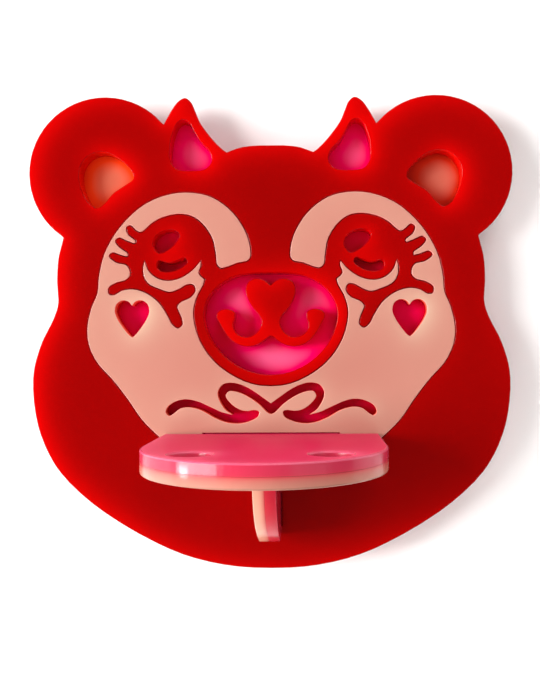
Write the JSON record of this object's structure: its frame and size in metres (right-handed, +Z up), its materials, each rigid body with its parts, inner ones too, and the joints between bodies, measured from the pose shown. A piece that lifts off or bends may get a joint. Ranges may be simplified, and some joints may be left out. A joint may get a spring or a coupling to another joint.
{
  "type": "wall shelf",
  "caption": "Bear-head wall shelf glued up from layered acrylic sheet, with a small D-shaped ledge holed for pens or brushes and a gusset under it.",
  "frame": {"origin": "middle of the centre foam strip's adhesive face, on the wall plane", "axes": "+X to the right as seen from the front, +Y into the wall, +Z up; the face looks along -Y"},
  "size_m": [0.1528, 0.0832, 0.1492],
  "materials": {
    "red_acrylic": "polished translucent red sheet",
    "peach_acrylic": "polished translucent peach sheet",
    "pink_acrylic": "polished translucent pink sheet",
    "foam_tape": "closed-cell foam tape"
  },
  "bodies": {
    "root": {"front_plate": "red_acrylic", "mask_inlay": "peach_acrylic", "spacer_plate": "red_acrylic", "nose_front": "red_acrylic", "nose_spacer": "red_acrylic", "backing_plate": "pink_acrylic", "ear_backing_left": "peach_acrylic", "ear_backing_right": "peach_acrylic", "shelf_top": "pink_acrylic", "shelf_base": "peach_acrylic", "gusset_left": "peach_acrylic", "gusset_right": "pink_acrylic", "foam_strip_left": "foam_tape", "foam_strip_centre": "foam_tape", "foam_strip_right": "foam_tape"}
  },
  "joints": []
}
